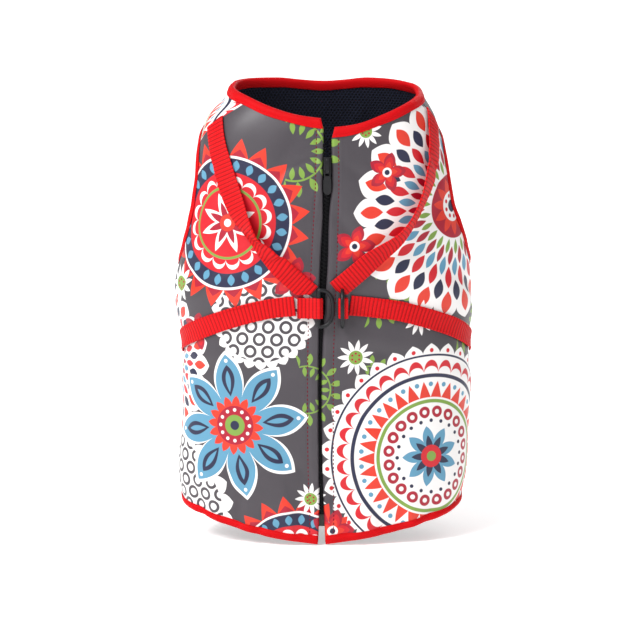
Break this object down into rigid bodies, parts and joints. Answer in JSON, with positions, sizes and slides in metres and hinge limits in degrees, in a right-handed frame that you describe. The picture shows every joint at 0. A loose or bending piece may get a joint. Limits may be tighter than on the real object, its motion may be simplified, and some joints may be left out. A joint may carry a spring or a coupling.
{
  "type": "dog vest with harness",
  "caption": "Sleeveless zip-up dog vest, lined and bound, with webbing straps to two D-rings over the back zip; hollow, filled out, neck up.",
  "frame": {"origin": "middle of the neck opening, where the wearer's neck holds the vest", "axes": "+Z out of the neck opening, along the vest's length; -Y the way the zip faces; +X to the right seen from the zip side"},
  "size_m": [0.2232, 0.1507, 0.339],
  "materials": {
    "printed_cloth": "smooth printed softshell, charcoal ground with a bright floral print, satin",
    "air_mesh": "navy-black spacer mesh, matte",
    "binding_tape": "bright red folded tape with a stitched edge",
    "webbing": "bright red ribbed webbing",
    "zip_tape": "black woven tape",
    "zip_teeth": "black moulded teeth",
    "zip_metal": "black lacquered metal",
    "zip_box_metal": "grey metal end box",
    "ring_metal": "black coated steel wire, glossy"
  },
  "bodies": {
    "vest": {"panel_back_left": "printed_cloth", "panel_back_right": "printed_cloth", "panel_chest": "printed_cloth", "lining_back_left": "air_mesh", "lining_back_right": "air_mesh", "lining_chest": "air_mesh", "binding_neck": "binding_tape", "binding_hem": "binding_tape", "binding_armhole_left": "binding_tape", "binding_armhole_right": "binding_tape", "strap_shoulder_left": "webbing", "strap_shoulder_right": "webbing", "strap_girth_left": "webbing", "strap_girth_right": "webbing", "loop_left": "webbing", "loop_right": "webbing", "zip_tape_left": "zip_tape", "zip_tape_right": "zip_tape", "zip_chain": "zip_teeth", "zip_teeth_left": "zip_teeth", "zip_teeth_right": "zip_teeth", "zip_box": "zip_box_metal", "zip_slider": "zip_metal"},
    "ring_left": {"ring_left": "ring_metal"},
    "ring_right": {"ring_right": "ring_metal"},
    "zip_pull": {"zip_pull": "zip_metal"}
  },
  "joints": [
    {"name": "ring_left_swing", "type": "hinge", "parent": "vest", "child": "ring_left", "pos_m": [-0.0032, -0.06595, -0.14891], "axis": [0, -0.0349, -0.9994], "range_deg": [0, 150]},
    {"name": "ring_right_swing", "type": "hinge", "parent": "vest", "child": "ring_right", "pos_m": [0.0142, -0.06516, -0.14887], "axis": [0, -0.0349, 0.9994], "range_deg": [0, 75]},
    {"name": "zip_pull_lift", "type": "hinge", "parent": "vest", "child": "zip_pull", "pos_m": [0.00314, -0.06065, -0.04743], "axis": [-1, 0.0004, 0.0051], "range_deg": [0, 120]}
  ]
}
